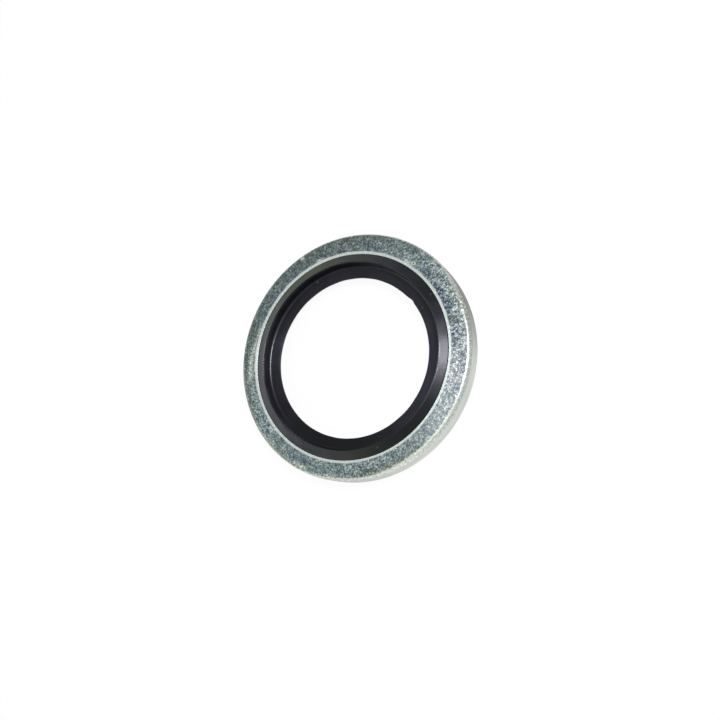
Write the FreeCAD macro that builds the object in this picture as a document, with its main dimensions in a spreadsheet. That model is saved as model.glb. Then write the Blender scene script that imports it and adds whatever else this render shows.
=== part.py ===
import FreeCAD, Part
import math
import os

import Sketcher

os.makedirs("parts", exist_ok=True)
doc = FreeCAD.newDocument("SealingWasher")

# Driving sizes in millimetres, from the hole outwards and then in height.
# Together they give the common self-centring G1/2 size: 21.5 between the feet of the lips' walls,
# 28.58 across outside and 2.49 thick.
drivingSizes = [
    ("seal_bore_diameter", "18.74", "hole in the rubber web"),
    ("web_reach", "1.38", "radial width of the flat web inside the lips"),
    ("lip_wall_draft", "0.12", "how far the inner wall of a lip leans outwards on its way up"),
    ("crest_flat", "0.08", "narrow flat along a lip's crest"),
    ("lip_slope_width", "0.96", "radial width of the slope from that flat to the metal"),
    ("rim_width", "2.38", "radial width of the metal ring"),
    ("ring_thickness", "2.49", "metal ring from face to face"),
    ("lip_stand", "0.28", "height of a lip's crest above the metal face"),
    ("seat_drop", "0.10", "how far below the metal face the rubber meets the metal"),
    ("web_root_thickness", "0.50", "web where it leaves the lips"),
    ("web_edge_thickness", "0.30", "web at the hole"),
    ("root_radius", "0.20", "hollow between a lip's wall and the web"),
    ("hole_bevel", "0.06", "bevel on the web's two edges at the hole"),
    ("rim_edge_width", "0.42", "radial width of the ring's outer edges, where the face turns down"),
    ("rim_edge_drop", "0.34", "height over which an outer edge turns down to the wall"),
    ("rim_roll_radius", "0.25", "rounding of an outer edge into the wall, below its narrow bevel"),
    ("land_width", "0.42", "smooth band pressed into each face along the ring's bore"),
    ("land_depth", "0.04", "depth of that band"),
]

sheet = doc.addObject("Spreadsheet::Sheet", "Sizes")
for row, (alias, number, note) in enumerate(drivingSizes, start=1):
    sheet.set(f"A{row}", note)
    sheet.set(f"B{row}", number)
    sheet.setAlias(f"B{row}", alias)
doc.recompute()

# Radii and heights that follow. Both pieces are symmetrical, so heights count from the mid-plane.
holeRadius = "Sizes.seal_bore_diameter / 2"
wallFootRadius = f"{holeRadius} + Sizes.web_reach"
crestInnerRadius = f"{wallFootRadius} + Sizes.lip_wall_draft"
crestOuterRadius = f"{crestInnerRadius} + Sizes.crest_flat"
ringBoreRadius = f"{crestOuterRadius} + Sizes.lip_slope_width"
landRadius = f"{ringBoreRadius} + Sizes.land_width"
rimRadius = f"{ringBoreRadius} + Sizes.rim_width"
faceHeight = "Sizes.ring_thickness / 2"
landHeight = f"{faceHeight} - Sizes.land_depth"
seatHeight = f"{faceHeight} - Sizes.seat_drop"
lipHeight = f"{faceHeight} + Sizes.lip_stand"
webRootHeight = "Sizes.web_root_thickness / 2"
webEdgeHeight = "Sizes.web_edge_thickness / 2"

lineStart, lineEnd, arcCentre = 1, 2, 3


def numberOf(expression):
    result = sheet.evalExpression(expression)
    return float(getattr(result, "Value", result))


def mirrored(expression):
    return f"-({expression})"


def pointAt(radius, height):
    return FreeCAD.Vector(numberOf(radius), numberOf(height), 0)


def originFeature(body, role):
    return next(feature for feature in body.Origin.OriginFeatures if feature.Role == role)


# An empty sketch on the upright plane through the axis: across is radius, up is height.
def addSection(body, name):
    sketch = body.newObject("Sketcher::SketchObject", name)
    sketch.AttachmentSupport = [(originFeature(body, "XZ_Plane"), "")]
    sketch.MapMode = "FlatFace"
    return sketch


def addLine(sketch, start, end):
    return sketch.addGeometry(Part.LineSegment(start, end), False)


def bindConstraint(sketch, constraint, name, expression):
    sketch.renameConstraint(sketch.addConstraint(constraint), name)
    sketch.setExpression(f"Constraints.{name}", expression)


# Ties a point of the sketch to a radius and a height that follow the sheet.
def bindPoint(sketch, item, place, name, radius, height):
    across = Sketcher.Constraint("DistanceX", -1, 1, item, place, numberOf(radius))
    up = Sketcher.Constraint("DistanceY", -1, 1, item, place, numberOf(height))
    bindConstraint(sketch, across, f"{name}_radius", radius)
    bindConstraint(sketch, up, f"{name}_height", height)


def addRectangle(sketch, name, innerRadius, outerRadius, lowHeight, highHeight):
    corners = [
        (innerRadius, lowHeight),
        (outerRadius, lowHeight),
        (outerRadius, highHeight),
        (innerRadius, highHeight),
    ]
    points = [pointAt(radius, height) for radius, height in corners]
    lines = [addLine(sketch, points[index - 1], points[index]) for index in range(len(points))]
    for index, (radius, height) in enumerate(corners):
        nextLine = lines[(index + 1) % len(lines)]
        sketch.addConstraint(Sketcher.Constraint("Coincident", lines[index], lineEnd, nextLine, lineStart))
        bindPoint(sketch, lines[index], lineEnd, f"{name}_corner{index}", radius, height)


# A full turn of a section about the axis: Revolution adds it, Groove takes it away.
def turnSection(body, kind, name, sketch):
    feature = body.newObject(f"PartDesign::{kind}", name)
    feature.Profile = sketch
    feature.ReferenceAxis = (originFeature(body, "Z_Axis"), [""])
    feature.Angle = 360
    doc.recompute()
    return feature


# Lifts a finished body from the mid-plane, so that the seal's lower lip stands on the ground plane.
def finishBody(body, tip, label):
    body.Tip = tip
    body.Label = label
    body.setExpression("Placement.Base.z", lipHeight)
    doc.recompute()


# The straight line that runs tangent from one rounded corner to the next, as its two ends. A
# corner is (centre, radius, turn): turn is 1 where the outline bends left and -1 where it bends
# right, and a sharp corner has no radius.
def tangentLine(corner, following):
    centre, radius, turn = corner
    nextCentre, nextRadius, nextTurn = following
    span = nextCentre - centre
    offset = nextTurn * nextRadius - turn * radius
    heading = math.atan2(span.y, span.x) - math.asin(offset / span.Length)
    left = FreeCAD.Vector(-math.sin(heading), math.cos(heading), 0)
    return centre - left * (turn * radius), nextCentre - left * (nextTurn * nextRadius)


# The arc of a rounded corner, from the point where the outline comes in to where it leaves.
def cornerArc(corner, pointIn, pointOut):
    centre, radius, turn = corner
    ends = (pointIn, pointOut) if turn > 0 else (pointOut, pointIn)
    first, last = (math.atan2(end.y - centre.y, end.x - centre.x) for end in ends)
    if last < first:
        last += 2 * math.pi
    circle = Part.Circle(centre, FreeCAD.Vector(0, 0, 1), radius)
    return Part.ArcOfCircle(circle, first, last)


# A closed outline that runs leftwards round the piece, with a rounding at some corners. Each
# corner is a name, a radius, a height, its rounding's radius or None, and its turn. The radius
# and height are those of the rounding's centre. Centres and roundings follow the sheet, and
# the straight lines stay tangent to them.
def addRoundedOutline(sketch, corners):
    solved = []
    for name, radius, height, rounding, turn in corners:
        solved.append((pointAt(radius, height), numberOf(rounding) if rounding else 0, turn))
    ends = [tangentLine(corner, solved[(index + 1) % len(solved)]) for index, corner in enumerate(solved)]
    lines = [addLine(sketch, start, end) for start, end in ends]
    for index, (name, radius, height, rounding, turn) in enumerate(corners):
        lineIn, lineOut = lines[index - 1], lines[index]
        if not rounding:
            sketch.addConstraint(Sketcher.Constraint("Coincident", lineIn, lineEnd, lineOut, lineStart))
            bindPoint(sketch, lineOut, lineStart, name, radius, height)
            continue
        arc = sketch.addGeometry(cornerArc(solved[index], ends[index - 1][1], ends[index][0]), False)
        arcIn, arcOut = (1, 2) if turn > 0 else (2, 1)
        sketch.addConstraint(Sketcher.Constraint("Tangent", lineIn, lineEnd, arc, arcIn))
        sketch.addConstraint(Sketcher.Constraint("Tangent", lineOut, lineStart, arc, arcOut))
        size = Sketcher.Constraint("Radius", arc, numberOf(rounding))
        bindConstraint(sketch, size, f"{name}_rounding", rounding)
        bindPoint(sketch, arc, arcCentre, name, radius, height)


# The outline of the upper half of a piece, from the outside inwards, and its mirror image.
def addMirroredOutline(sketch, upper):
    lower = [
        (f"lower_{name}", radius, mirrored(height), rounding, turn)
        for name, radius, height, rounding, turn in reversed(upper)
    ]
    addRoundedOutline(sketch, upper + lower)


# Metal ring: a flat ring whose outer edges turn down in a narrow bevel and roll into the wall.
# Along its bore each face has the shallow smooth band that the mould pressed into the zinc.
def makeMetalRing():
    body = doc.addObject("PartDesign::Body", "MetalRing")
    section = addSection(body, "RingSection")
    upper = [
        ("roll", f"{rimRadius} - Sizes.rim_roll_radius", f"{faceHeight} - Sizes.rim_edge_drop",
         "Sizes.rim_roll_radius", 1),
        ("face_edge", f"{rimRadius} - Sizes.rim_edge_width", faceHeight, None, 1),
        ("bore", ringBoreRadius, faceHeight, None, 1),
    ]
    addMirroredOutline(section, upper)
    ring = turnSection(body, "Revolution", "Ring", section)
    bands = addSection(body, "LandSection")
    addRectangle(bands, "upper", ringBoreRadius, landRadius, landHeight, faceHeight)
    addRectangle(bands, "lower", ringBoreRadius, landRadius, mirrored(faceHeight), mirrored(landHeight))
    lands = turnSection(body, "Groove", "PressedLands", bands)
    if not lands.Shape.Volume < ring.Shape.Volume:
        raise ValueError("the pressed lands cut nothing")
    finishBody(body, lands, "metal_ring")
    return body


# Rubber seal: bonded to the ring's bore, it rises to a sharp lip above each face, drops down the
# lip's steep inner wall and runs in to the hole as a thin web. The lower half mirrors the upper.
def makeRubberSeal():
    body = doc.addObject("PartDesign::Body", "RubberSeal")
    section = addSection(body, "SealSection")
    upper = [
        ("seat", ringBoreRadius, seatHeight, None, 1),
        ("crest_outside", crestOuterRadius, lipHeight, None, 1),
        ("crest_inside", crestInnerRadius, lipHeight, None, 1),
        ("root", f"{wallFootRadius} - Sizes.root_radius", f"{webRootHeight} + Sizes.root_radius",
         "Sizes.root_radius", -1),
        ("web_end", f"{holeRadius} + Sizes.hole_bevel", webEdgeHeight, None, 1),
        ("hole", holeRadius, f"{webEdgeHeight} - Sizes.hole_bevel", None, 1),
    ]
    addMirroredOutline(section, upper)
    seal = turnSection(body, "Revolution", "Seal", section)
    finishBody(body, seal, "rubber_seal")
    return body


bodies = [makeMetalRing(), makeRubberSeal()]
doc.recompute()

failed = [item.Name for item in doc.Objects if "Invalid" in item.State or "Error" in item.State]
if failed:
    raise RuntimeError(f"failed objects: {failed}")
for body in bodies:
    if body.Shape.isNull() or not body.Shape.isValid() or len(body.Shape.Solids) != 1:
        raise RuntimeError(f"{body.Label} is not one sound solid")
for body in bodies:
    body.Shape.exportStep(f"parts/{body.Label}.step")
    bounds = body.Shape.optimalBoundingBox(True, False)
    print(f"{body.Label}: {body.Shape.Volume:.3f} cubic mm, {bounds.XLength:.3f} across, "
          f"from {bounds.ZMin:.3f} to {bounds.ZMax:.3f}")
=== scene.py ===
import math

import bpy
import numpy as np
from mathutils import Matrix, Vector


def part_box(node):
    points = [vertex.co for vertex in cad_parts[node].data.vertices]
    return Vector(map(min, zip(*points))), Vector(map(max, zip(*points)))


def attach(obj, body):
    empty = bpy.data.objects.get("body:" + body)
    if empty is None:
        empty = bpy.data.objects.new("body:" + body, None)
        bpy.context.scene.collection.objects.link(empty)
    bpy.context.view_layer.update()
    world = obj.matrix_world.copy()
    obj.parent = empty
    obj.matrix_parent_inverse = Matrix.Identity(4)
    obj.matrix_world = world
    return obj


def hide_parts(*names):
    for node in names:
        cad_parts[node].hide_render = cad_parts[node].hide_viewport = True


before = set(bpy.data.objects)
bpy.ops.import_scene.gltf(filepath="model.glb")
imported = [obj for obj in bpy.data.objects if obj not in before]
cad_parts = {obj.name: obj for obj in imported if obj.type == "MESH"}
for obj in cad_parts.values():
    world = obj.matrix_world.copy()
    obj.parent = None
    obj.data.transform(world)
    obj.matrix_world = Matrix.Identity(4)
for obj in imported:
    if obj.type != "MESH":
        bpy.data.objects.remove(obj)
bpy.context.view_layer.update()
print("frame loaded")

mm = 0.001
turnSteps = 1240  # points round the axis on both pieces, so that their bonded walls match

# Where the washer is comes from the frame: heights count from its mid-plane, radii from its axis.
ringLow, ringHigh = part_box("metal_ring")
sealLow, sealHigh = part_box("rubber_seal")
midHeight = (sealLow.z + sealHigh.z) / 2
faceHeight = ringHigh.z - midHeight
lipHeight = sealHigh.z - midHeight
rimRadius = ringHigh.x
boreRadius = sealHigh.x

# The photographed hole, bore and band aren't quite centred in the rim: how far off the axis the
# circle of each radius lies, from the hole to the face's outer part.
offCentre = {
    "radius": (9.37 * mm, 11.91 * mm, 12.25 * mm, 14.00 * mm),
    "x": (-0.205 * mm, -0.180 * mm, -0.160 * mm, 0),
    "y": (0.192 * mm, 0.123 * mm, 0.165 * mm, 0),
}

# Azimuths count from the side nearest the camera (-Y) through +X.
turnAngles = np.arange(turnSteps) * (2 * math.pi / turnSteps)


# Shapes.


# A smooth step from 0 to 1 as value goes from start to end: 3t squared minus 2t cubed.
def smoothStep(start, end, value):
    t = np.clip((value - start) / (end - start), 0, 1)
    return t * t * (3 - 2 * t)


# Falls from 1 to 0 round a middle value, with the border on either side of it.
def fallAt(middle, border, value):
    return smoothStep(middle + border, middle - border, value)


# How many degrees each step of the turn lies past an azimuth, from -180 to 180.
def degreesFrom(azimuth):
    return (np.degrees(turnAngles) - azimuth + 180) % 360 - 180


# A bump of height 1 at an azimuth in degrees, falling off as a bell of that width round the ring.
def bellAt(azimuth, width):
    return np.exp(-((degreesFrom(azimuth) / width) ** 2))


# A level round the turn with bells of (azimuth, width, height) added to it.
def roundTheTurn(profile):
    level, *bells = profile
    return level + sum(height * bellAt(azimuth, width) for azimuth, width, height in bells)


# Soft oval marks, each 1 in its middle, added up to 1 at most.
def markField(marks, radius):
    total = np.zeros_like(radius)
    for azimuth, middle, around, across, strength in marks.values():
        away = np.radians(degreesFrom(azimuth)) * middle
        total += strength * np.exp(-((away / around) ** 2) - ((radius - middle) / across) ** 2)
    return np.clip(total, 0, 1)


# An open path of straight runs joined by roundings. A corner is (radius, height, rounding, points
# on the rounding, points on the run that leaves it). Each rounding is the arc that touches both
# of its runs: it starts rounding / tan(half the corner's angle) before the corner.
def sectionPath(corners):
    places = np.array([corner[:2] for corner in corners])
    pieces = []
    ends = []
    for index, (radius, height, rounding, arcPoints, runPoints) in enumerate(corners):
        corner = places[index]
        if rounding == 0:
            ends.append((corner, corner, corner[None, :]))
            continue
        back = places[index - 1] - corner
        onward = places[index + 1] - corner
        back /= np.linalg.norm(back)
        onward /= np.linalg.norm(onward)
        half = math.acos(np.clip(back @ onward, -1, 1)) / 2
        reach = rounding / math.tan(half)
        centre = corner + (back + onward) / np.linalg.norm(back + onward) * rounding / math.sin(half)
        first, last = corner + back * reach - centre, corner + onward * reach - centre
        start = math.atan2(first[1], first[0])
        sweep = (math.atan2(last[1], last[0]) - start + math.pi) % (2 * math.pi) - math.pi
        angles = start + sweep * np.linspace(0, 1, arcPoints)
        arc = centre + rounding * np.stack([np.cos(angles), np.sin(angles)], axis=1)
        ends.append((arc[0], arc[-1], arc))
    for index, (into, outOf, arc) in enumerate(ends):
        pieces.append(arc)
        runPoints = corners[index][4]
        if index + 1 < len(ends) and runPoints:
            shares = np.linspace(0, 1, runPoints + 2)[1:-1, None]
            pieces.append(outOf + (ends[index + 1][0] - outOf) * shares)
    return np.concatenate(pieces)


# The upper half of a section and its mirror image, joined to one closed loop that runs with the
# solid on its left.
def mirroredSection(upper):
    lower = upper[1:-1][::-1] * [1, -1]
    return np.concatenate([upper, lower])


# For each point of a closed section: its outward normal, and how far along the section it lies.
def sectionMeasures(section):
    onward = np.roll(section, -1, axis=0) - section
    lengths = np.linalg.norm(onward, axis=1, keepdims=True)
    along = onward / lengths
    tangent = along + np.roll(along, 1, axis=0)
    tangent /= np.linalg.norm(tangent, axis=1, keepdims=True)
    normal = np.stack([tangent[:, 1], -tangent[:, 0]], axis=1)
    travelled = np.concatenate([[0], np.cumsum(lengths[:-1, 0])])
    return normal, travelled


# Seeded noise on the closed grid of a turned piece: of random numbers only the waves near the
# two wanted lengths stay, so it closes on itself both ways. Its spread is 1.
def closedNoise(seed, shape, sectionStep, turnStep, sectionWave, turnWave, bandWidth=0.6):
    numbers = np.random.default_rng(seed).standard_normal(shape)
    alongSection = np.fft.fftfreq(shape[0], sectionStep)[:, None] * sectionWave
    alongTurn = np.fft.rfftfreq(shape[1], turnStep)[None, :] * turnWave
    keep = np.exp(-(((np.hypot(alongSection, alongTurn) - 1) / bandWidth) ** 2))
    field = np.fft.irfft2(np.fft.rfft2(numbers) * keep, s=shape)
    return (field - field.mean()) / field.std()


# Noise along the turn alone, with waves near a length in degrees, its spread 1.
def turnNoise(seed, waveDegrees):
    return closedNoise(seed, (1, turnSteps), 1, 360 / turnSteps, 1, waveDegrees)[0]


# Grains: each point belongs to the nearest seed of a jittered lattice, and each grain is a small
# plane with a level and a lean of its own. Gives the height and the grain's own random value.
def grainField(seed, along, roundTurn, size):
    columns = round(roundTurn.max() / size)
    rows = math.ceil(along.max() / size) + 3
    random = np.random.default_rng(seed)
    seedAlong, seedRound, level, leanAlong, leanRound, shade = random.random((6, rows, columns))
    alongCell = along / size + 1
    roundCell = roundTurn / roundTurn.max() * columns
    row, column = np.floor(alongCell).astype(int), np.floor(roundCell).astype(int)
    nearest = np.full(np.broadcast(along, roundTurn).shape, np.inf)
    height, tone = np.zeros_like(nearest), np.zeros_like(nearest)
    for rowStep in (-1, 0, 1):
        for columnStep in (-1, 0, 1):
            r = row + rowStep
            c = (column + columnStep) % columns
            gapAlong = alongCell - (r + seedAlong[r, c])
            gapRound = roundCell - (column + columnStep + seedRound[r, c])
            distance = np.hypot(gapAlong, gapRound)
            lean = gapAlong * (2 * leanAlong[r, c] - 1) + gapRound * (2 * leanRound[r, c] - 1)
            closer = distance < nearest
            nearest = np.where(closer, distance, nearest)
            height = np.where(closer, level[r, c] + lean, height)
            tone = np.where(closer, shade[r, c], tone)
    return height - height.mean(), tone


# A closed mesh of revolution: point (i, j) is section point i, moved along the section's normal
# by raised[i, j], and turned to azimuth j, about the centre that offCentre gives for its radius.
# The quads' corners run so that faces point outwards.
def turnedPiece(name, section, normal, raised, attributes):
    radius = section[:, :1] + normal[:, :1] * raised
    height = section[:, 1:] + normal[:, 1:] * raised
    x = radius * np.sin(turnAngles) + np.interp(radius, offCentre["radius"], offCentre["x"])
    y = -radius * np.cos(turnAngles) + np.interp(radius, offCentre["radius"], offCentre["y"])
    points = np.stack([x, y, midHeight + height], axis=2)
    rows, columns = raised.shape
    index = np.arange(rows * columns).reshape(rows, columns)
    onward = np.roll(index, -1, axis=1)
    quads = np.stack([index, onward, np.roll(onward, -1, axis=0), np.roll(index, -1, axis=0)], axis=2)
    mesh = bpy.data.meshes.new(name)
    mesh.vertices.add(index.size)
    mesh.vertices.foreach_set("co", points.astype(np.float32).ravel())
    mesh.loops.add(quads.size)
    mesh.loops.foreach_set("vertex_index", quads.astype(np.int32).ravel())
    mesh.polygons.add(index.size)
    mesh.polygons.foreach_set("loop_start", np.arange(0, quads.size, 4, dtype=np.int32))
    mesh.polygons.foreach_set("use_smooth", np.ones(index.size, bool))
    mesh.update(calc_edges=True)
    for attributeName, values in attributes.items():
        attribute = mesh.attributes.new(attributeName, "FLOAT", "POINT")
        spread = np.broadcast_to(values, raised.shape)
        attribute.data.foreach_set("value", spread.astype(np.float32).ravel())
    piece = bpy.data.objects.new(name, mesh)
    bpy.context.scene.collection.objects.link(piece)
    return piece


# The metal ring.

ring = {
    "edgeWidth": 0.42 * mm,     # how far in from the rim a face begins to turn down
    "edgeDrop": 0.40 * mm,      # how far below the face the turned edge meets the wall
    "rimRoll": 0.14 * mm,       # rounding below the edge's narrow bevel
    "edgeRounding": 0.36 * mm,  # where the face turns into the bevel
    "landWidth": 0.30 * mm,     # smooth band along the bore
    "landDepth": 0.04 * mm,
    "boreEdge": 0.045 * mm,     # rounding of the bore's edges
    "faceStep": 0.092 * mm,     # distance of points across a face
    "grainSize": 0.18 * mm,
    "grainDepth": 0.030 * mm,
    "blotchSize": 0.45 * mm,    # blotches that break up chips, tints and marks
    "tintSize": 1.6 * mm,       # faint blue clouds in the plating
    "swellWave": 2.2 * mm,      # slow unevenness of the faces
    "swellDepth": 0.006 * mm,
    "landWander": 0.010 * mm,   # how far the band's outer edge strays
    "edgeWander": 0.02 * mm,    # how far the grains' outer edge strays
    "jagDepth": 0.06 * mm,      # the same where the edge is chipped
    "nearReach": (-0.10 * mm, (310, 22, 0.20 * mm)),  # how far the grains run past the face's edge
    "farReach": 0.38 * mm,      # and how much further on the far side
    "farSide": (52, 72, 272, 298),  # degrees: where that begins, is full, is full until, and ends
    "chipDepth": 0.05 * mm,     # nicks in the bevel
    "streakWave": 7.0 * mm,     # drawing marks round the outer wall
    "streakDepth": 0.005 * mm,
    "lineWidth": 0.08 * mm,     # reach of the bright line past the face's edge
    "boreShadeAndSatinLine": 0.04 * mm,      # width of the dull line along the bore's edge
    "chipReach": 0.25 * mm,     # how far in from the face's edge chips begin to glint
    "oliveReach": 0.70 * mm,    # how far in from there the brownish tint begins
    # How softly one finish gives way to the next.
    "grainBorder": 0.03 * mm,
    "lineBorder": 0.04 * mm,
    "bandBorder": 0.05 * mm,
    "bevelBorder": 0.05 * mm,
    "wallBorder": 0.06 * mm,
    # Radii between which something changes across the face.
    "rimPaintedLightSpan": (12.9 * mm, 13.8 * mm),
    "rimColourSpan": (13.0 * mm, 13.5 * mm),
    "rightOliveSpan": (12.9 * mm, 13.3 * mm),
    "faceMiddle": 13.0 * mm,    # inside it plain metal is the band's, outside it the bevel's
    # How bright the plating is painted round the turn, a painted highlight and painted shade: a level,
    # then (azimuth, width, height) of bells.
    "faceShine": (
        0.375, (6, 33, 0.81), (62, 30, 0.19), (95, 30, 0.08), (204, 14, -0.09), (238, 42, 0.33),
        (300, 30, 0.17),
    ),
    # painted highlight and shade that the face's outer part adds
    "rimPaintedLight": (1.0, (52, 10, 0.25), (214, 36, -0.36)),  # the same for the face's outer part alone
    # painted highlight and shade of the band round the turn
    "landPaintedLight": (0.77, (14, 36, 0.32), (90, 30, -0.04), (206, 13, 0.25)),
    # painted highlight and shade of the bevel round the turn
    "bevelPaintedLight": (
        0.64, (14, 18, -0.15), (42, 18, -0.31), (130, 36, 0.09), (212, 40, -0.39), (255, 20, -0.09),
        (320, 24, 0.27), (350, 16, -0.04),
    ),
    # painted highlight on the bright line at the face's edge
    "linePaintedHighlight": (0, (4, 18, 0.20), (348, 15, 0.38)),
    # painted light and shade of the outer wall round the turn
    "wallPaintedLight": (1.07, (50, 21, -0.72), (80, 26, -0.36), (110, 30, -0.2), (296, 18, -0.24)),
    "wallFootShade": (0, (50, 30, 0.22)),  # darker towards the lower edge
    "landSatin": (0, (20, 26, 0.6)),       # where band and line are rougher
    "lineSatin": (0, (42, 20, 0.50)),
    # How strongly the grains stand out round the turn, strongest where the light falls: painted glints
    # on real grains.
    "faceContrast": (
        1.0, (50, 24, 0.75), (110, 26, 0.3), (232, 28, 0.35), (308, 22, 0.35), (348, 18, -0.20),
    ),
    "chips": (0, (324, 14, 1.0), (348, 8, 0.2), (288, 12, 0.4), (45, 6, 0.4)),
    # Where the plating looks teal instead of plain grey, which is less under the face's painted
    # highlight, and where it is brownish along the rim.
    "tealShare": (1.0, (8, 38, -0.95)),
    "oliveBand": (0.15, (321, 12, 2.00), (272, 25, 0.35), (122, 24, 0.50), (236, 24, 0.45)),
    "rightOlive": (0, (50, 9, 0.3)),
    # Marks on the upper face: azimuth, radius, reach round the turn, reach across, strength.
    "paleMarks": {
        "beige stain": (83, 12.35 * mm, 0.45 * mm, 0.20 * mm, 1.0),
        "stain's other end": (78.5, 12.50 * mm, 0.40 * mm, 0.16 * mm, 0.9),
        "left scuff at the band": (192, 12.40 * mm, 1.00 * mm, 0.12 * mm, 0.8),
        "left scuff": (200, 12.54 * mm, 0.90 * mm, 0.20 * mm, 0.8),
        "left scuff's middle": (207, 12.82 * mm, 0.90 * mm, 0.28 * mm, 0.65),
        "left scuff's end": (214, 13.06 * mm, 0.80 * mm, 0.30 * mm, 0.55),
        "lighter area below it": (206, 12.60 * mm, 1.60 * mm, 0.30 * mm, 0.26),
        "lighter area's end": (215, 12.85 * mm, 1.30 * mm, 0.40 * mm, 0.22),
        "yellowish mark at the band": (136, 12.34 * mm, 0.36 * mm, 0.16 * mm, 1.0),
        "scuff at the far edge": (145.7, 13.80 * mm, 0.24 * mm, 0.30 * mm, 1.2),
        "scuff at the left edge": (274, 13.75 * mm, 0.50 * mm, 0.20 * mm, 1.3),
        "second scuff there": (269.5, 13.68 * mm, 0.16 * mm, 0.20 * mm, 1.0),
        "scuff at the near edge": (288, 13.82 * mm, 0.30 * mm, 0.10 * mm, 0.9),
    },
    "blueMarks": {
        "navy patch": (49, 12.48 * mm, 1.40 * mm, 0.28 * mm, 1.0),
        "navy patch's start": (33, 12.52 * mm, 0.90 * mm, 0.28 * mm, 0.9),
        "navy patch's end": (58, 12.55 * mm, 0.80 * mm, 0.28 * mm, 1.0),
        "faint patch beyond": (69, 12.65 * mm, 0.90 * mm, 0.30 * mm, 0.6),
        "blue patch at the left": (271, 13.10 * mm, 2.10 * mm, 0.42 * mm, 0.45),
        "second one there": (254, 12.75 * mm, 1.10 * mm, 0.30 * mm, 0.35),
    },
}


# Where a line from the face's edge, tangent to the roll, meets the wall's upright: the line leans
# below the way to the roll's centre by asin(roll / distance).
def edgeCorner(faceEdge, centre, roll):
    across, down = centre[0] - faceEdge, faceHeight - centre[1]
    lean = math.atan2(down, across) - math.asin(roll / math.hypot(across, down))
    return faceHeight - (rimRadius - faceEdge) * math.tan(lean)


# From the middle of the outer wall over the turned edge, the face and the band to the bore.
def ringSection(values, faceEdge, landRadius):
    rollCentre = (rimRadius - values["rimRoll"], faceHeight - values["edgeDrop"])
    wallTop = edgeCorner(faceEdge, rollCentre, values["rimRoll"])
    landHeight = faceHeight - values["landDepth"]
    facePoints = round((faceEdge - landRadius) / values["faceStep"])
    return mirroredSection(sectionPath([
        (rimRadius, 0, 0, 1, 3),
        (rimRadius, wallTop, values["rimRoll"], 4, 3),
        (faceEdge, faceHeight, values["edgeRounding"], 4, facePoints),
        (landRadius + values["landDepth"], faceHeight, 0, 1, 0),
        (landRadius - values["landDepth"], landHeight, 0, 1, 2),
        (boreRadius, landHeight, values["boreEdge"], 3, 0),
        (boreRadius, 0, 0, 1, 0),
    ]))
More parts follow.
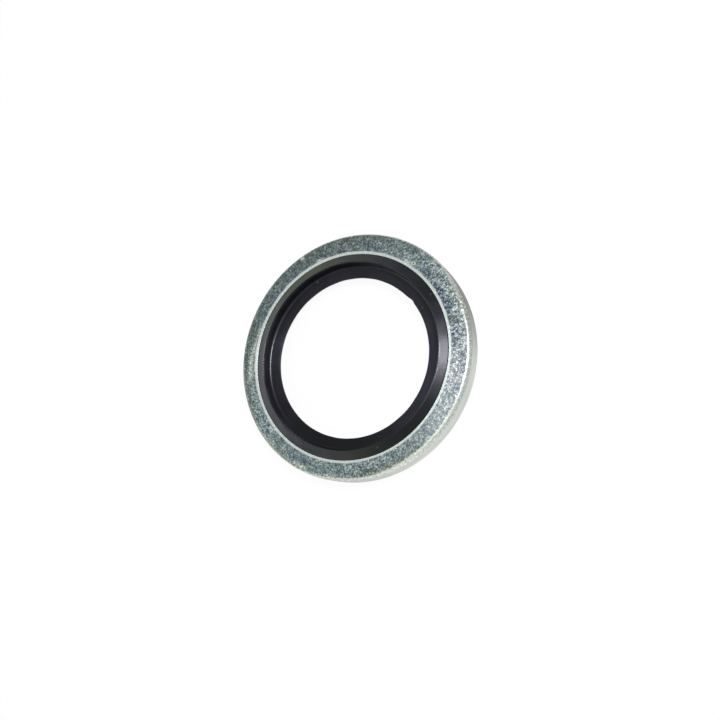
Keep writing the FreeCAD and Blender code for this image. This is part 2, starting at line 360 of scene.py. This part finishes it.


# The section turned round the axis, its points moved along its normal by grains, swells, streaks
# and chips. Each zone's mask is a smooth step in radius, and its painted light and shade a profile
# round the turn.
def makeRing(values):
    faceEdge = rimRadius - values["edgeWidth"]
    landRadius = boreRadius + values["landWidth"]
    section = ringSection(values, faceEdge, landRadius)
    normal, travelled = sectionMeasures(section)
    shape = (len(section), turnSteps)
    turnStep = 2 * math.pi * rimRadius / turnSteps
    radius = section[:, :1] + np.zeros(shape)
    height = section[:, 1:] + np.zeros(shape)
    along = travelled[:, None] + np.zeros(shape)
    roundTurn = (turnAngles * rimRadius)[None, :] + np.zeros(shape)
    upSide = height > 0

    def faceNoise(seed, sectionWave, turnWave=None):
        turnWave = turnWave or sectionWave
        return closedNoise(seed, shape, values["faceStep"], turnStep, sectionWave, turnWave)

    coarse = faceNoise(9, values["blotchSize"])
    tint = faceNoise(15, values["tintSize"])
    swell = faceNoise(5, values["swellWave"])
    streak = faceNoise(7, values["faceStep"] * 5, values["streakWave"])
    bands = turnNoise(16, 3.0) * 0.5 + turnNoise(17, 1.0) * 0.5
    grain, tone = grainField(3, along, roundTurn, values["grainSize"])
    chipped = np.clip(roundTheTurn(values["chips"]), 0, 1)

    # Which finish is where: the grains reach from the band to past the face's edge.
    start, full, fullEnd, end = values["farSide"]
    degrees = np.degrees(turnAngles)
    farSide = smoothStep(start, full, degrees) * smoothStep(end, fullEnd, degrees)
    reach = roundTheTurn(values["nearReach"]) + values["farReach"] * farSide
    grainEdge = faceEdge + reach + values["edgeWander"] * turnNoise(12, 2.5)
    grainEdge = grainEdge + values["jagDepth"] * (coarse + 0.6 * turnNoise(13, 2.0)) * chipped
    landEdge = landRadius + values["landWander"] * turnNoise(11, 7)
    faceMask = smoothStep(landEdge, landEdge + values["bandBorder"], radius)
    faceMask = faceMask * fallAt(grainEdge, values["grainBorder"], radius)
    wallMask = smoothStep(rimRadius - values["wallBorder"], rimRadius, radius)
    bevelMask = (1 - fallAt(faceEdge, values["bevelBorder"], radius)) * (1 - wallMask)
    nearEdge = smoothStep(faceEdge - values["chipReach"], faceEdge, radius) * (1 - wallMask)
    line = fallAt(faceEdge + values["lineWidth"], values["lineBorder"], radius)
    boreEdge = smoothStep(boreRadius + values["boreShadeAndSatinLine"], boreRadius + values["boreShadeAndSatinLine"] / 2, radius)

    # Relief, kept inside the rim's radius.
    chips = np.clip(coarse - 0.4, 0, None) * bevelMask * (0.15 + chipped)
    raised = (
        values["grainDepth"] * grain * faceMask
        + values["swellDepth"] * swell * faceMask
        - values["streakDepth"] * np.abs(streak) * wallMask
        - values["chipDepth"] * chips
    )
    raised = np.where(radius > rimRadius - 1e-7, np.minimum(raised, 0), raised)

    # Tints and marks.
    outerBand = smoothStep(faceEdge - values["oliveReach"], faceEdge, radius)
    rightBand = smoothStep(*values["rightOliveSpan"], radius)
    olive = np.clip(coarse + 0.3, 0, 1) * outerBand * roundTheTurn(values["oliveBand"])
    olive = olive + roundTheTurn(values["rightOlive"]) * np.clip(coarse + 0.5, 0, 1) * rightBand
    pale = markField(values["paleMarks"], radius) * upSide * np.clip(0.75 + 0.45 * coarse, 0, 1)
    chipGlint = np.clip(coarse - 0.2, 0, 1) * chipped * nearEdge
    blue = markField(values["blueMarks"], radius) * upSide * np.clip(0.9 + 0.5 * coarse, 0, 1)
    blue = blue + 0.22 * np.clip(tint - 0.3, 0, 1)

    # Painted light and shade of each zone, made a little uneven.
    rimPaintedLight = 1 + (roundTheTurn(values["rimPaintedLight"]) - 1) * smoothStep(*values["rimPaintedLightSpan"], radius)
    faceShine = roundTheTurn(values["faceShine"]) * rimPaintedLight * (1 + 0.04 * swell + 0.05 * coarse)
    landPaintedLight = roundTheTurn(values["landPaintedLight"]) * (1 + 0.07 * bands) * (1 + 0.05 * coarse)
    # painted shade along the bore's edge, which dims its highlight
    landPaintedLight = landPaintedLight * (1 - 0.35 * boreEdge)
    bevelPaintedLight = roundTheTurn(values["bevelPaintedLight"]) * (1 + 0.10 * coarse + 0.06 * bands)
    # a painted highlight along the line at the face's edge, on the upper side alone
    bevelPaintedLight = bevelPaintedLight + roundTheTurn(values["linePaintedHighlight"]) * line * upSide
    footShade = smoothStep(0, -faceHeight, height) * roundTheTurn(values["wallFootShade"])
    wallPaintedLight = roundTheTurn(values["wallPaintedLight"]) * (1 + 0.035 * streak) * (1 - footShade)
    plainShine = np.where(radius > values["faceMiddle"], bevelPaintedLight, landPaintedLight)
    plainShine = plainShine + (wallPaintedLight - plainShine) * wallMask

    # Satin past the line, less of it on line and band, most along the bore's edge.
    satin = (1 - line + line * roundTheTurn(values["lineSatin"]) * nearEdge) * (1 - faceMask)
    satin = satin + roundTheTurn(values["landSatin"]) * (radius < landEdge)
    satin = np.maximum(satin, 1.8 * boreEdge)

    attributes = {
        "faceMask": faceMask,
        "wallMask": wallMask,
        "grainTone": tone,
        "faceShine": faceShine,
        "tealShare": roundTheTurn(values["tealShare"]),
        "faceContrast": roundTheTurn(values["faceContrast"]),
        "plainShine": np.clip(plainShine, 0, 1.34),
        "satin": satin,
        "rimShare": smoothStep(*values["rimColourSpan"], radius),
        "blueShare": np.clip(blue, 0, 1),
        "oliveShare": np.clip(olive, 0, 1),
        "paleShare": np.clip(pale + chipGlint, 0, 1),
    }
    return turnedPiece("zinc_plated_ring", section, normal, raised, attributes)


# The rubber seal.

seal = {
    "boreDiameter": 18.74 * mm,
    "webReach": 1.38 * mm,
    "wallDraft": 0.12 * mm,
    "crestFlat": 0.08 * mm,
    "crestRounding": 0.045 * mm,
    "seatDrop": 0.10 * mm,
    "webRootThickness": 0.50 * mm,
    "webEdgeThickness": 0.30 * mm,
    "rootRounding": 0.28 * mm,
    "holeRounding": 0.08 * mm,
    "unevenDepth": 0.006 * mm,
    "unevenWave": 3.2 * mm,
    "lineDepth": 0.0016 * mm,   # fine turning marks of the mould
    "lineWave": 0.16 * mm,
    "lineLength": 6.0 * mm,
    "bondedBorder": 0.10 * mm,  # the relief fades out this far before the bonded wall
    "crestBorder": 0.03 * mm,
    "footBorder": 0.02 * mm,
    "flashDepth": 0.055 * mm,   # rubber left standing in the hole
    "flashReach": 0.25 * mm,    # how far it and the nick reach out from the hole
    "flashSpan": (69, 72, 80, 100),  # degrees: where it begins, is full, is full until, and ends
    "nick": (0, (66.5, 2.0, 0.085 * mm)),  # bite out of the hole's edge beside it
    "rootShineWidth": 0.11 * mm,
    # How pale and how glossy the rubber is round the turn, as for the ring: its paleness paints light
    # and shade.
    "webPaintedLight": (0.70, (10, 40, 0.75), (200, 16, 1.0), (290, 50, -0.65)),
    "slopePaintedLight": (
        0.85, (62, 18, -0.50), (112, 22, 0.9), (148, 24, 2.6), (292, 20, 1.3), (340, 25, -0.50),
    ),
    "crestPaintedHighlight": (0, (14, 26, 1.5)),
    "lipWallPaintedLight": (0, (92, 20, 1.2), (262, 32, 1.3)),
    "slopeGloss": (0, (20, 17, 0.20)),
    "crestGloss": (0, (15, 24, 0.60), (200, 24, 0.65)),
    "rootGloss": (0.05, (203, 26, 0.95)),
    "wallGloss": (0, (208, 20, 0.50), (260, 30, 0.30)),
    "slopeOlive": (0, (150, 62, 1.0), (312, 36, 0.8)),
    "specks": {
        "speck at the root": (144, 10.50 * mm, 0.11 * mm, 0.06 * mm, 1.0),
        "speck on the slope": (59, 11.60 * mm, 0.08 * mm, 0.06 * mm, 0.8),
        "speck by the nick": (57.5, 9.85 * mm, 0.10 * mm, 0.05 * mm, 1.0),
        "speck on the near slope": (318, 11.30 * mm, 0.08 * mm, 0.06 * mm, 0.5),
    },
}


# From the bonded wall up the slope, over the lip's crest, down its inner wall and in to the hole.
def sealSection(values, holeRadius, wallFoot, crestInner, crestOuter):
    return mirroredSection(sectionPath([
        (boreRadius, 0, 0, 1, 0),
        (boreRadius, faceHeight - values["seatDrop"], 0, 1, 7),
        (crestOuter, lipHeight, values["crestRounding"], 3, 0),
        (crestInner, lipHeight, values["crestRounding"], 3, 3),
        (wallFoot, values["webRootThickness"] / 2, values["rootRounding"], 7, 6),
        (holeRadius, values["webEdgeThickness"] / 2, values["holeRounding"], 5, 0),
        (holeRadius, 0, 0, 1, 0),
    ]))


# The section turned round the axis, its points moved along its normal by noise, flash and the
# nick. Tone, which paints light and shade, and gloss are profiles round the turn, mixed by masks in
# radius and height.
def makeSeal(values):
    holeRadius = values["boreDiameter"] / 2
    wallFoot = holeRadius + values["webReach"]
    crestInner = wallFoot + values["wallDraft"]
    crestOuter = crestInner + values["crestFlat"]
    section = sealSection(values, holeRadius, wallFoot, crestInner, crestOuter)
    normal, travelled = sectionMeasures(section)
    shape = (len(section), turnSteps)
    turnStep = 2 * math.pi * crestOuter / turnSteps
    sectionStep = travelled[-1] / len(section)
    radius = section[:, :1] + np.zeros(shape)
    height = section[:, 1:] + np.zeros(shape)

    def sealNoise(seed, sectionWave, turnWave):
        return closedNoise(seed, shape, sectionStep, turnStep, sectionWave, turnWave)

    # Relief, with flash and a nick at the hole.
    uneven = sealNoise(21, values["unevenWave"], values["unevenWave"])
    lines = sealNoise(23, values["lineWave"], values["lineLength"])
    free = smoothStep(boreRadius, boreRadius - values["bondedBorder"], radius)
    crest = smoothStep(lipHeight - values["crestBorder"], lipHeight, np.abs(height))
    raised = (values["unevenDepth"] * uneven + values["lineDepth"] * lines) * free * (1 - crest)
    atHole = smoothStep(holeRadius + values["flashReach"], holeRadius, radius)
    flash = np.interp(np.degrees(turnAngles), values["flashSpan"], (0, 1, 1, 0))
    raised = raised + (values["flashDepth"] * flash - roundTheTurn(values["nick"])) * atHole

    # Tone, which paints light and shade, and gloss of web, wall, crest and slope, and of the hollow at
    # the web's root.
    slope = smoothStep(crestInner, crestOuter, radius)
    wall = (1 - fallAt(wallFoot, values["footBorder"], radius)) * (1 - slope)
    rootMiddle = wallFoot - 0.5 * values["rootRounding"]
    root = np.exp(-(((radius - rootMiddle) / values["rootShineWidth"]) ** 2))
    # painted shade on the lip's steep inner wall
    webPaintedLight = roundTheTurn(values["webPaintedLight"]) * (1 - 0.3 * wall)
    tone = webPaintedLight + (roundTheTurn(values["slopePaintedLight"]) - webPaintedLight) * slope
    tone = tone + crest * roundTheTurn(values["crestPaintedHighlight"]) + wall * roundTheTurn(values["lipWallPaintedLight"])
    gloss = root * roundTheTurn(values["rootGloss"])
    gloss = gloss + wall * (1 - root) * roundTheTurn(values["wallGloss"])
    gloss = gloss + slope * (1 - crest) * roundTheTurn(values["slopeGloss"])
    gloss = gloss + crest * roundTheTurn(values["crestGloss"])
    attributes = {
        "rubberTone": np.clip(tone * (1 + 0.06 * uneven + 0.05 * lines), 0, None),
        "gloss": np.clip(gloss, 0, 1),
        "oliveShare": slope * np.clip(roundTheTurn(values["slopeOlive"]), 0, 1),
        "speck": markField(values["specks"], radius) * (height > 0),
    }
    return turnedPiece("black_rubber_seal", section, normal, raised, attributes)


ringPiece = makeRing(ring)
print("metal ring made,", 2 * len(ringPiece.data.polygons), "triangles")
sealPiece = makeSeal(seal)
print("rubber seal made,", 2 * len(sealPiece.data.polygons), "triangles")


# Finishes.


# A socket with Python's operators: each one adds its Math node to the tree.
class Signal:
    def __init__(self, tree, socket):
        self.tree = tree
        self.socket = socket

    def math(self, operation, *others):
        node = self.tree.nodes.new("ShaderNodeMath")
        node.operation = operation
        for place, item in zip(node.inputs, others):
            if isinstance(item, Signal):
                self.tree.links.new(item.socket, place)
            else:
                place.default_value = item
        return Signal(self.tree, node.outputs[0])

    def __add__(self, other):
        return self.math("ADD", self, other)

    def __radd__(self, other):
        return self.math("ADD", other, self)

    def __sub__(self, other):
        return self.math("SUBTRACT", self, other)

    def __rsub__(self, other):
        return self.math("SUBTRACT", other, self)

    def __mul__(self, other):
        return self.math("MULTIPLY", self, other)

    def __rmul__(self, other):
        return self.math("MULTIPLY", other, self)

    def __truediv__(self, other):
        return self.math("DIVIDE", self, other)

    def clipped(self):
        return self.math("MINIMUM", self.math("MAXIMUM", self, 0.0), 1.0)

    # Goes from 0 to 1 as the signal goes from start to end.
    def ramped(self, start, end):
        return ((self - start) / (end - start)).clipped()


# A node tree that nodes are added to by type, with their settings first and then their sockets.
class Finish:
    def __init__(self, tree):
        self.tree = tree
        tree.nodes.clear()

    def add(self, nodeType, settings, sockets, output=0):
        node = self.tree.nodes.new(nodeType)
        for name, value in settings.items():
            if name == "stops":
                ramp = node.color_ramp
                while len(ramp.elements) < len(value):
                    ramp.elements.new(0.5)
                for element, (position, colour) in zip(ramp.elements, value):
                    element.position = position
                    element.color = colour
            else:
                setattr(node, name, value)
        for name, value in sockets.items():
            if isinstance(value, Signal):
                self.tree.links.new(value.socket, node.inputs[name])
            else:
                node.inputs[name].default_value = value
        return Signal(self.tree, node.outputs[output]) if node.outputs else None

    def objectPlace(self):
        return self.add("ShaderNodeTexCoord", {}, {}, "Object")

    def attribute(self, name):
        return self.add("ShaderNodeAttribute", {"attribute_name": name}, {}, "Fac")

    # Noise with features of about size metres, stretched by (x, y, z).
    def noise(self, size, detail=2.0, stretch=(1, 1, 1), roughness=0.5):
        scale = [1 / (size * part) for part in stretch]
        mapped = self.add("ShaderNodeMapping", {}, {"Vector": self.objectPlace(), "Scale": scale})
        sockets = {"Vector": mapped, "Scale": 1.0, "Detail": detail, "Roughness": roughness}
        return self.add("ShaderNodeTexNoise", {}, sockets, "Fac")

    # Cells of about size metres, each with a random colour.
    def cells(self, size):
        sockets = {0: self.objectPlace(), "Scale": 1 / size}
        mapped = self.add("ShaderNodeVectorMath", {"operation": "SCALE"}, sockets)
        return self.add("ShaderNodeTexVoronoi", {}, {"Vector": mapped, "Scale": 1.0}, "Color")

    def part(self, colour, name):
        return self.add("ShaderNodeSeparateColor", {}, {"Color": colour}, name)

    def mix(self, share, first, second, blendType="MIX"):
        settings = {"data_type": "RGBA", "blend_type": blendType}
        return self.add("ShaderNodeMix", settings, {0: share, 6: first, 7: second}, 2)

    def bump(self, height, distance, strength):
        sockets = {"Height": height, "Distance": distance, "Strength": strength}
        return self.add("ShaderNodeBump", {}, sockets)

    def surface(self, shader):
        self.add("ShaderNodeOutputMaterial", {}, {"Surface": shader})


def newMaterial(name):
    material = bpy.data.materials.new(name)
    material.use_nodes = True
    return material, Finish(material.node_tree)


zinc = {
    "pit": (0.075, 0.105, 0.105, 1),
    "body": (0.215, 0.255, 0.262, 1),
    "glint": (0.775, 0.79, 0.795, 1),
    "teal": (0.865, 1.0, 0.98, 1),      # these three tint the grains
    "beigeGrain": (1.16, 1.04, 0.84, 1),
    "violetGrain": (0.88, 0.89, 1.04, 1),
    "plain": (0.67, 0.735, 0.708, 1),
    "rim": (0.68, 0.715, 0.66, 1),
    "wall": (0.58, 0.605, 0.56, 1),
    "wallStreak": (0.40, 0.43, 0.38, 1),
    "blue": (0.047, 0.062, 0.124, 1),
    "olive": (0.24, 0.25, 0.11, 1),
    "pale": (0.74, 0.78, 0.65, 1),
    "stops": (0.14, 0.46, 0.90),        # levels at which the grains are pit, body and glint
    "levelShares": (0.36, 0.42, 0.36),  # of the grain's tone, fine noise and sparks in its level
    "levelDrop": 0.10,
    "middleLevel": 0.45,                # the level that contrast leaves alone
    "beigeSpan": (0.60, 0.95),          # random values over which a speckle turns beige
    "violetSpan": (0.40, 0.05),
    "hueStrength": 0.6,
    "blueTop": 1.5,                     # blue marks fade as the level nears this
    "oliveStrength": 1.2,
    "paleLeast": 0.35,                  # strength of pale marks, and how much fine noise adds
    "paleFine": 0.6,
    "fineSize": 0.10 * mm,
    "speckleSize": 0.12 * mm,
    "wallLineSize": 0.16 * mm,
    "wallLineStretch": (26, 26, 1),
    "wallLineSpan": (0.42, 0.72),
    "wallLineStrength": 0.45,
    "microSize": 0.05 * mm,
    "microDepth": 0.006 * mm,
    "microStrength": 0.6,
    "metallic": 0.85,
    "roughness": 0.20,
    "grainRoughness": 0.15,             # what the grains, fine noise on them and satin add to it
    "fineRoughness": 0.2,
    "satinRoughness": 0.24,
}


# The level of each grain picks a colour between pit, body and glint, which tints, patches and the
# face's painted light and shade then change. Outside the faces the plating is plain, with streaks on
# the wall.
def makeZinc(values):
    material, finish = newMaterial("zinc_plating")
    faceMask = finish.attribute("faceMask")
    wallMask = finish.attribute("wallMask")
    tone = finish.attribute("grainTone")
    fine = finish.noise(values["fineSize"], roughness=0.6)
    speckle = finish.cells(values["speckleSize"])
    spark = finish.part(speckle, "Red")
    hue = finish.part(speckle, "Green")
    toneShare, fineShare, sparkShare = values["levelShares"]
    level = tone * toneShare + fine * fineShare + spark * sparkShare - values["levelDrop"]
    middle = values["middleLevel"]
    level = ((level - middle) * finish.attribute("faceContrast") + middle).clipped()
    stops = list(zip(values["stops"], (values["pit"], values["body"], values["glint"])))
    grained = finish.add("ShaderNodeValToRGB", {"stops": stops}, {"Fac": level})
    for share, tint in (
        (finish.attribute("tealShare"), "teal"),
        (hue.ramped(*values["beigeSpan"]) * values["hueStrength"], "beigeGrain"),
        (hue.ramped(*values["violetSpan"]) * values["hueStrength"], "violetGrain"),
    ):
        grained = finish.mix(share, grained, values[tint], "MULTIPLY")
    blueShare = (finish.attribute("blueShare") * (values["blueTop"] - level)).clipped()
    oliveShare = finish.attribute("oliveShare") * (1.0 - level) * values["oliveStrength"]
    grained = finish.mix(blueShare, grained, values["blue"])
    grained = finish.mix(oliveShare, grained, values["olive"])
    # the face's painted highlight and shade round the turn
    grained = finish.mix(1.0, grained, finish.attribute("faceShine"), "MULTIPLY")
    wallLines = finish.noise(values["wallLineSize"], detail=3.0, stretch=values["wallLineStretch"])
    streaks = wallLines.ramped(*values["wallLineSpan"]) * values["wallLineStrength"]
    wallColour = finish.mix(streaks, values["wall"], values["wallStreak"])
    plain = finish.mix(finish.attribute("rimShare"), values["plain"], values["rim"])
    plain = finish.mix(wallMask, plain, wallColour)
    # the painted light and shade of band, bevel and wall
    plain = finish.mix(1.0, plain, finish.attribute("plainShine"), "MULTIPLY")
    colour = finish.mix(faceMask, plain, grained)
    paleShare = finish.attribute("paleShare") * (values["paleLeast"] + values["paleFine"] * fine)
    colour = finish.mix(paleShare, colour, values["pale"])
    grainRoughness = values["grainRoughness"] + fine * values["fineRoughness"]
    satin = finish.attribute("satin")
    roughness = values["roughness"] + faceMask * grainRoughness + satin * values["satinRoughness"]
    micro = finish.noise(values["microSize"])
    normal = finish.bump(micro, values["microDepth"], values["microStrength"])
    shader = finish.add("ShaderNodeBsdfPrincipled", {}, {
        "Base Color": colour,
        "Metallic": values["metallic"],
        "Roughness": roughness,
        "Normal": normal,
    })
    finish.surface(shader)
    return material


rubber = {
    "base": (0.0105, 0.0105, 0.0150, 1),
    "bloom": (0.030, 0.030, 0.036, 1),
    "olive": (0.0115, 0.0130, 0.0085, 1),
    "speck": (0.14, 0.13, 0.13, 1),
    "cloudSize": 1.5 * mm,
    "bloomSpan": (0.45, 0.8),     # cloud values over which the bloom comes in
    "bloomStrength": 0.25,
    "speckStrength": 0.8,
    "fineSize": 0.07 * mm,
    "fineDepth": 0.002 * mm,
    "fineStrength": 0.5,
    "roughness": 0.25,
    "cloudRoughness": 0.08,       # what clouds and fine noise add to it
    "fineRoughness": 0.04,
    "specular": 0.17,
    "specularTint": (0.90, 0.93, 1.0, 1),
    "coatRoughness": 0.22,
}


# Black with a faint bloom in clouds, times the tone round the turn, which paints light and shade, and
# a coat where it is glossy.
def makeRubber(values):
    material, finish = newMaterial("black_rubber")
    cloud = finish.noise(values["cloudSize"], detail=3.0)
    fine = finish.noise(values["fineSize"])
    bloomShare = cloud.ramped(*values["bloomSpan"]) * values["bloomStrength"]
    colour = finish.mix(bloomShare, values["base"], values["bloom"])
    colour = finish.mix(finish.attribute("oliveShare"), colour, values["olive"])
    colour = finish.mix(1.0, colour, finish.attribute("rubberTone"), "MULTIPLY")
    speckShare = finish.attribute("speck") * values["speckStrength"]
    colour = finish.mix(speckShare, colour, values["speck"])
    roughness = values["roughness"] + cloud * values["cloudRoughness"] + fine * values["fineRoughness"]
    normal = finish.bump(fine, values["fineDepth"], values["fineStrength"])
    shader = finish.add("ShaderNodeBsdfPrincipled", {}, {
        "Base Color": colour,
        "Roughness": roughness,
        "Specular IOR Level": values["specular"],
        "Specular Tint": values["specularTint"],
        "Coat Weight": finish.attribute("gloss"),
        "Coat Roughness": values["coatRoughness"],
        "Normal": normal,
    })
    finish.surface(shader)
    return material


zincMaterial = makeZinc(zinc)
rubberMaterial = makeRubber(rubber)
for piece, node, slotName, material in (
    (ringPiece, "metal_ring", "zinc_plated_steel", zincMaterial),
    (sealPiece, "rubber_seal", "black_rubber", rubberMaterial),
):
    piece.data.materials.append(material)
    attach(piece, "root")
    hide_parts(node)
print("finishes made")


# Studio and camera.

# Measured on the photograph, which is taken to be 720 pixels square.
view = {
    "imagePixels": 720,
    "tilt": 27.38,           # degrees from straight above, towards -Y
    "roll": 26.17,           # degrees that the picture is turned about the line of sight
    "distance": 85.74 * mm,  # from the middle of the upper metal face
    "focalPixels": 759.6,
    "centre": (349.16, 353.54),  # pixels where the middle of the upper metal face lies
}

sensorWidth = 36.0  # the camera's own millimetres


# Looks at the middle of the upper face from its distance, leant by tilt and turned by roll, and
# stands aside as far as puts that middle on its pixel.
def addCamera(values):
    tilt, roll = math.radians(values["tilt"]), math.radians(values["roll"])
    near, up = Vector((0, -1, 0)), Vector((0, 0, 1))
    back = math.cos(tilt) * up + math.sin(tilt) * near
    down = math.cos(tilt) * near - math.sin(tilt) * up
    across = back.cross(down)
    imageRight = math.cos(roll) * down + math.sin(roll) * across
    imageUp = math.cos(roll) * across - math.sin(roll) * down
    metresPerPixel = values["distance"] / values["focalPixels"]
    middle = values["imagePixels"] / 2
    offRight = (values["centre"][0] - middle) * metresPerPixel
    offDown = (values["centre"][1] - middle) * metresPerPixel
    target = Vector((0, 0, midHeight + faceHeight))
    place = target + values["distance"] * back - offRight * imageRight + offDown * imageUp
    data = bpy.data.cameras.new("photo_camera")
    data.sensor_width = sensorWidth
    data.lens = sensorWidth * values["focalPixels"] / values["imagePixels"]
    data.clip_start = 1 * mm
    camera = bpy.data.objects.new("photo_camera", data)
    axes = Matrix((imageRight, imageUp, back)).transposed().to_4x4()
    camera.matrix_world = Matrix.Translation(place) @ axes
    bpy.context.scene.collection.objects.link(camera)
    bpy.context.scene.camera = camera
    return target


# The direction from the washer to something at an azimuth and an elevation in degrees.
def direction(azimuth, elevation):
    turn, rise = math.radians(azimuth), math.radians(elevation)
    return Vector((math.cos(rise) * math.sin(turn), -math.cos(rise) * math.cos(turn), math.sin(rise)))


# Soft lamps: azimuth and elevation in degrees, distance, width and height in metres, and the
# brightness of the lit panel, where 1 is white.
lamps = {
    "key_panel": {
        "azimuth": 46, "elevation": 58, "distance": 0.15, "size": (0.046, 0.046),
        "brightness": 29.0, "colour": (0.93, 0.93, 1.0),
    },
    "back_panel": {
        "azimuth": 212, "elevation": 19, "distance": 0.30, "size": (0.46, 0.13),
        "brightness": 2.9, "colour": (0.96, 1.0, 0.95),
    },
}


def addLamps(target):
    for name, values in lamps.items():
        width, height = values["size"]
        data = bpy.data.lights.new(name, "AREA")
        data.shape = "RECTANGLE"
        data.size, data.size_y = width, height
        data.energy = values["brightness"] * math.pi * width * height
        data.color = values["colour"]
        lamp = bpy.data.objects.new(name, data)
        towards = direction(values["azimuth"], values["elevation"])
        lamp.location = target + towards * values["distance"]
        lamp.rotation_euler = towards.to_track_quat("Z", "Y").to_euler()
        lamp.visible_camera = False
        bpy.context.scene.collection.objects.link(lamp)


studio = {
    "floorSize": 1.2,          # metres
    "floorColour": (0.86, 0.86, 0.86, 1),
    "shownWhite": 0.93,        # share of plain white in what those rays see of the floor
    "surround": 0.62,          # brightness of the surroundings for all other rays
}


# 1 for the rays that see plain white, which are those of the camera, of gloss and of glass.
def whiteRays(finish):
    cameraRay, glossyRay, transmissionRay = (
        finish.add("ShaderNodeLightPath", {}, {}, f"Is {kind} Ray")
        for kind in ("Camera", "Glossy", "Transmission")
    )
    return (cameraRay + glossyRay + transmissionRay).clipped()


def addStudio(values):
    half = values["floorSize"] / 2
    corners = [(-half, -half, 0), (half, -half, 0), (half, half, 0), (-half, half, 0)]
    mesh = bpy.data.meshes.new("studio_floor")
    mesh.from_pydata(corners, [], [(0, 1, 2, 3)])
    floor = bpy.data.objects.new("studio_floor", mesh)
    bpy.context.scene.collection.objects.link(floor)
    material, finish = newMaterial("studio_white")
    share = whiteRays(finish) * values["shownWhite"]
    diffuse = finish.add("ShaderNodeBsdfDiffuse", {}, {"Color": values["floorColour"]})
    white = finish.add("ShaderNodeEmission", {}, {"Color": (1, 1, 1, 1), "Strength": 1.0})
    finish.surface(finish.add("ShaderNodeMixShader", {}, {0: share, 1: diffuse, 2: white}))
    mesh.materials.append(material)

    world = bpy.data.worlds.new("studio_surround")
    world.use_nodes = True
    bpy.context.scene.world = world
    finish = Finish(world.node_tree)
    strength = values["surround"] + whiteRays(finish) * (1 - values["surround"])
    background = finish.add("ShaderNodeBackground", {}, {"Color": (1, 1, 1, 1), "Strength": strength})
    finish.add("ShaderNodeOutputWorld", {}, {"Surface": background})


target = addCamera(view)
addLamps(target)
addStudio(studio)
bpy.context.scene.view_settings.view_transform = "Standard"
print("studio and camera set")
